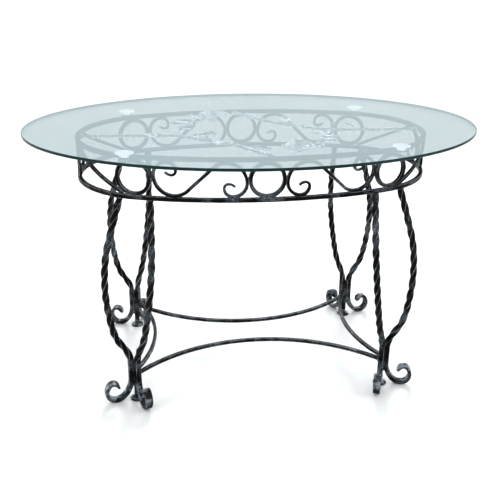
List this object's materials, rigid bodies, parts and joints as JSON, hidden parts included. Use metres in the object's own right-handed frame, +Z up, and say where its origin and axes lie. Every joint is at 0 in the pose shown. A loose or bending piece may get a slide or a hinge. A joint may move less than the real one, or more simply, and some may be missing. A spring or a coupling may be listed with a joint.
{
  "type": "oval glass-topped table",
  "caption": "Oval dining table with a clear glass top resting on pads over a forged iron frame with twisted legs, scrolled apron and bowed stretchers.",
  "frame": {"origin": "on the floor under the middle of the glass", "axes": "+X along the table's length, +Y towards its back, +Z up"},
  "size_m": [1.3, 0.8998, 0.75],
  "materials": {
    "glass": "polished",
    "clear_pad": "clear soft plastic",
    "iron": "black lacquer rubbed with silver on the edges",
    "foot": "satin black",
    "ornament": "black lacquer rubbed with silver"
  },
  "bodies": {
    "frame": {"branch_left": "iron", "branch_right": "iron", "end_scroll_back_left": "iron", "end_scroll_back_right": "iron", "end_scroll_front_left": "iron", "end_scroll_front_right": "iron", "glass_pads": "clear_pad", "leaves_left": "ornament", "leaves_right": "ornament", "leg_end_bar_back_left": "iron", "leg_end_bar_back_right": "iron", "leg_end_bar_front_left": "iron", "leg_end_bar_front_right": "iron", "leg_side_bar_back_left": "iron", "leg_side_bar_back_right": "iron", "leg_side_bar_front_left": "iron", "leg_side_bar_front_right": "iron", "lower_rail": "iron", "pad_tabs": "iron", "ring_back": "iron", "ring_back_left": "iron", "ring_back_right": "iron", "ring_front": "iron", "ring_front_left": "iron", "ring_front_right": "iron", "rose_left": "ornament", "rose_right": "ornament", "side_scroll_back_left": "iron", "side_scroll_back_right": "iron", "side_scroll_front_left": "iron", "side_scroll_front_right": "iron", "sleeve_back_left": "iron", "sleeve_back_right": "iron", "sleeve_front_left": "iron", "sleeve_front_right": "iron", "stretcher_back": "iron", "stretcher_front": "iron", "stretcher_left": "iron", "stretcher_right": "iron", "twig_left": "iron", "twig_right": "iron", "upper_rail": "iron"},
    "glass": {"glass_top": "glass"},
    "foot_front_left": {"levelling_foot_front_left": "foot"},
    "foot_front_right": {"levelling_foot_front_right": "foot"},
    "foot_back_left": {"levelling_foot_back_left": "foot"},
    "foot_back_right": {"levelling_foot_back_right": "foot"}
  },
  "joints": [
    {"name": "glass_lift", "type": "slide", "parent": "frame", "child": "glass", "axis": [0, 0, 1], "range_m": [0, 0.12]},
    {"name": "level_front_left", "type": "slide", "parent": "frame", "child": "foot_front_left", "axis": [0, 0, -1], "range_m": [0, 0.012]},
    {"name": "level_front_right", "type": "slide", "parent": "frame", "child": "foot_front_right", "axis": [0, 0, -1], "range_m": [0, 0.012]},
    {"name": "level_back_left", "type": "slide", "parent": "frame", "child": "foot_back_left", "axis": [0, 0, -1], "range_m": [0, 0.012]},
    {"name": "level_back_right", "type": "slide", "parent": "frame", "child": "foot_back_right", "axis": [0, 0, -1], "range_m": [0, 0.012]}
  ]
}
